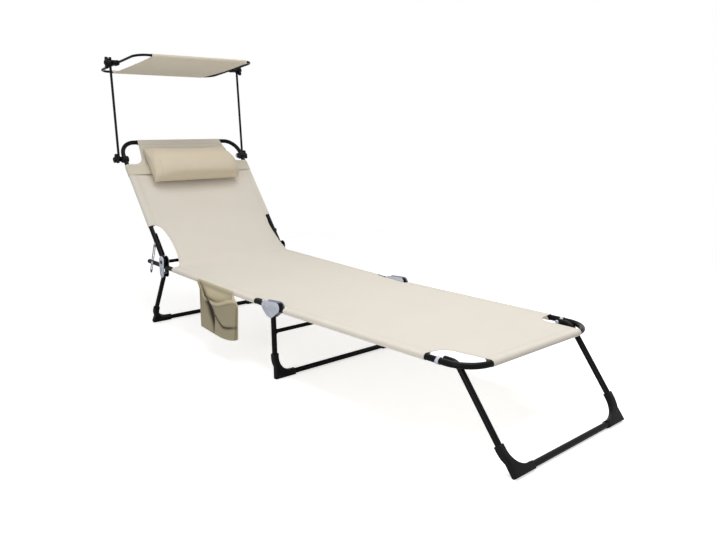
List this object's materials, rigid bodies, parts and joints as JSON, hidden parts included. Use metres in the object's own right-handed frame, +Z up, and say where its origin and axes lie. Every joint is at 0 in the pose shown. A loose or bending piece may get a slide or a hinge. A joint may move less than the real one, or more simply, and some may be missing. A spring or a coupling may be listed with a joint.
{
  "type": "sun lounger with canopy",
  "caption": "Folding sun lounger with a reclining back, head pillow, side pocket and a tilting canopy over the head.",
  "frame": {"origin": "on the floor, under the middle of the whole lounger's bounding box", "axes": "+X towards the foot end, +Y to the sitter's left, +Z up"},
  "size_m": [2.0112, 0.5942, 0.9906],
  "materials": {
    "powder_coat": "black powder coat, semi-gloss",
    "zinc_plate": "zinc plated, satin",
    "black_plastic": "moulded, matt",
    "sling_cloth": "woven sling cloth, matt",
    "shade_cloth": "woven cloth, matt, seen in shade"
  },
  "bodies": {
    "seat": {"seat_rail_left": "powder_coat", "seat_rail_right": "powder_coat", "strap_guide_pin_left": "zinc_plate", "strap_guide_pin_right": "zinc_plate", "rear_hinge_plate_outer_left": "zinc_plate", "rear_hinge_plate_outer_right": "zinc_plate", "rear_hinge_plate_inner_left": "zinc_plate", "rear_hinge_plate_inner_right": "zinc_plate", "rear_leg_rivet_left": "zinc_plate", "rear_leg_rivet_right": "zinc_plate", "back_hinge_axle": "powder_coat", "middle_hinge_plate_outer_left": "zinc_plate", "middle_hinge_plate_outer_right": "zinc_plate", "middle_hinge_plate_inner_left": "zinc_plate", "middle_hinge_plate_inner_right": "zinc_plate", "foot_hinge_rivet_left": "zinc_plate", "foot_hinge_rivet_right": "zinc_plate", "middle_leg_rivet_left": "zinc_plate", "middle_leg_rivet_right": "zinc_plate", "seat_cloth": "sling_cloth", "side_pocket": "shade_cloth"},
    "rear_leg": {"rear_leg_tube": "powder_coat", "rear_leg_foot_left": "black_plastic", "rear_leg_foot_right": "black_plastic"},
    "middle_leg": {"middle_leg_tube": "powder_coat", "middle_leg_foot_left": "black_plastic", "middle_leg_foot_right": "black_plastic", "middle_leg_crossbar": "powder_coat"},
    "footrest": {"foot_frame": "powder_coat", "foot_cloth": "sling_cloth", "front_leg_rivet_left": "zinc_plate", "front_leg_rivet_right": "zinc_plate", "front_leg_clip_left": "zinc_plate", "front_leg_clip_right": "zinc_plate"},
    "front_leg": {"front_leg_tube": "powder_coat", "front_leg_foot_left": "black_plastic", "front_leg_foot_right": "black_plastic"},
    "backrest": {"back_frame": "powder_coat", "back_cloth": "sling_cloth", "strap_backing_left": "powder_coat", "strap_backing_right": "powder_coat", "strap_rivet_left": "zinc_plate", "strap_rivet_right": "zinc_plate", "canopy_clamp_left": "black_plastic", "canopy_clamp_right": "black_plastic"},
    "strap_left": {"recline_strap_left": "zinc_plate"},
    "strap_right": {"recline_strap_right": "zinc_plate"},
    "headrest": {"pillow": "sling_cloth", "pillow_band": "sling_cloth"},
    "canopy_arms": {"canopy_arm_left": "powder_coat", "canopy_arm_right": "powder_coat"},
    "canopy": {"canopy_bow_front": "powder_coat", "canopy_bow_rear": "powder_coat", "canopy_cover": "shade_cloth", "canopy_joint_left": "black_plastic", "canopy_joint_right": "black_plastic"},
    "clamp_knob_left": {"clamp_knob_left": "black_plastic"},
    "clamp_knob_right": {"clamp_knob_right": "black_plastic"},
    "canopy_knob_left": {"canopy_knob_left": "black_plastic"},
    "canopy_knob_right": {"canopy_knob_right": "black_plastic"}
  },
  "joints": [
    {"name": "back_recline", "type": "hinge", "parent": "seat", "child": "backrest", "pos_m": [-0.52014, 0, 0.25677], "axis": [0, 1, 0], "range_deg": [-50.5, 20]},
    {"name": "strap_left_swing", "type": "hinge", "parent": "backrest", "child": "strap_left", "pos_m": [-0.56579, 0, 0.31627], "axis": [0, 1, 0], "range_deg": [-10.5, 26]},
    {"name": "strap_right_swing", "type": "hinge", "parent": "backrest", "child": "strap_right", "pos_m": [-0.56579, 0, 0.31627], "axis": [0, 1, 0], "range_deg": [-10.5, 26]},
    {"name": "footrest_fold", "type": "hinge", "parent": "seat", "child": "footrest", "pos_m": [0.16942, 0, 0.23095], "axis": [0, -1, 0], "range_deg": [0, 160]},
    {"name": "front_leg_fold", "type": "hinge", "parent": "footrest", "child": "front_leg", "pos_m": [0.78847, 0, 0.22534], "axis": [0, 1, 0], "range_deg": [0, 125]},
    {"name": "middle_leg_fold", "type": "hinge", "parent": "seat", "child": "middle_leg", "pos_m": [0.14267, 0, 0.20305], "axis": [0, 1, 0], "range_deg": [0, 84]},
    {"name": "rear_leg_fold", "type": "hinge", "parent": "seat", "child": "rear_leg", "pos_m": [-0.52128, 0, 0.21378], "axis": [0, -1, 0], "range_deg": [0, 112]},
    {"name": "headrest_slide", "type": "slide", "parent": "backrest", "child": "headrest", "axis": [-0.6088, 0, 0.7934], "range_m": [-0.09, 0.02]},
    {"name": "canopy_arms_tilt", "type": "hinge", "parent": "backrest", "child": "canopy_arms", "pos_m": [-0.80863, 0, 0.60892], "axis": [0, 1, 0], "range_deg": [-30, 80]},
    {"name": "canopy_tilt", "type": "hinge", "parent": "canopy_arms", "child": "canopy", "pos_m": [-0.8364, 0, 0.96183], "axis": [0, 1, 0], "range_deg": [-80, 80]},
    {"name": "clamp_knob_left_turn", "type": "hinge", "parent": "backrest", "child": "clamp_knob_left", "pos_m": [-0.80863, 0.2811, 0.60892], "axis": [0, 1, 0], "range_deg": [-180, 180]},
    {"name": "clamp_knob_right_turn", "type": "hinge", "parent": "backrest", "child": "clamp_knob_right", "pos_m": [-0.80863, -0.2811, 0.60892], "axis": [0, -1, 0], "range_deg": [-180, 180]},
    {"name": "canopy_knob_left_turn", "type": "hinge", "parent": "canopy", "child": "canopy_knob_left", "pos_m": [-0.8364, 0.2811, 0.96183], "axis": [0, 1, 0], "range_deg": [-180, 180]},
    {"name": "canopy_knob_right_turn", "type": "hinge", "parent": "canopy", "child": "canopy_knob_right", "pos_m": [-0.8364, -0.2811, 0.96183], "axis": [0, -1, 0], "range_deg": [-180, 180]}
  ],
  "couplings": [
    {"joint": "strap_left_swing", "follows": "back_recline", "ratio": -0.5},
    {"joint": "strap_right_swing", "follows": "back_recline", "ratio": -0.5}
  ]
}
